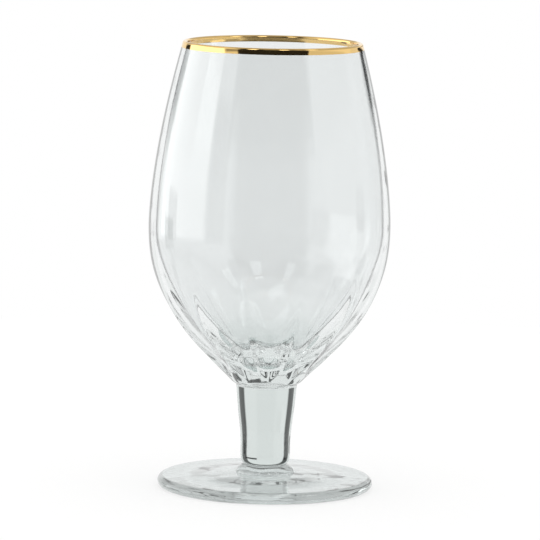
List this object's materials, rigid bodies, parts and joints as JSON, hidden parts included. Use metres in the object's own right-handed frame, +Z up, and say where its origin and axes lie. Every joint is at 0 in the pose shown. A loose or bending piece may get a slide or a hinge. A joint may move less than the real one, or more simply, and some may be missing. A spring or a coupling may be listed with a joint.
{
  "type": "beer glass",
  "caption": "Stemmed beer glass with a fluted, thick-based egg-shaped bowl, short solid stem, disc foot and a thin gold band round the lip.",
  "frame": {"origin": "on the table, at the middle of the foot's underside", "axes": "+Z up along the glass's axis; X and Y are alike, and the nearest ridge between two flutes is 18 degrees round from +X towards +Y"},
  "size_m": [0.089, 0.089, 0.165],
  "materials": {
    "clear_glass": "clear fire-polished soda-lime glass with a faint grey-green tone",
    "gold": "fired bright gold, polished"
  },
  "bodies": {
    "root": {"foot": "clear_glass", "collar": "clear_glass", "stem": "clear_glass", "bowl": "clear_glass", "gold_rim": "gold"}
  },
  "joints": []
}
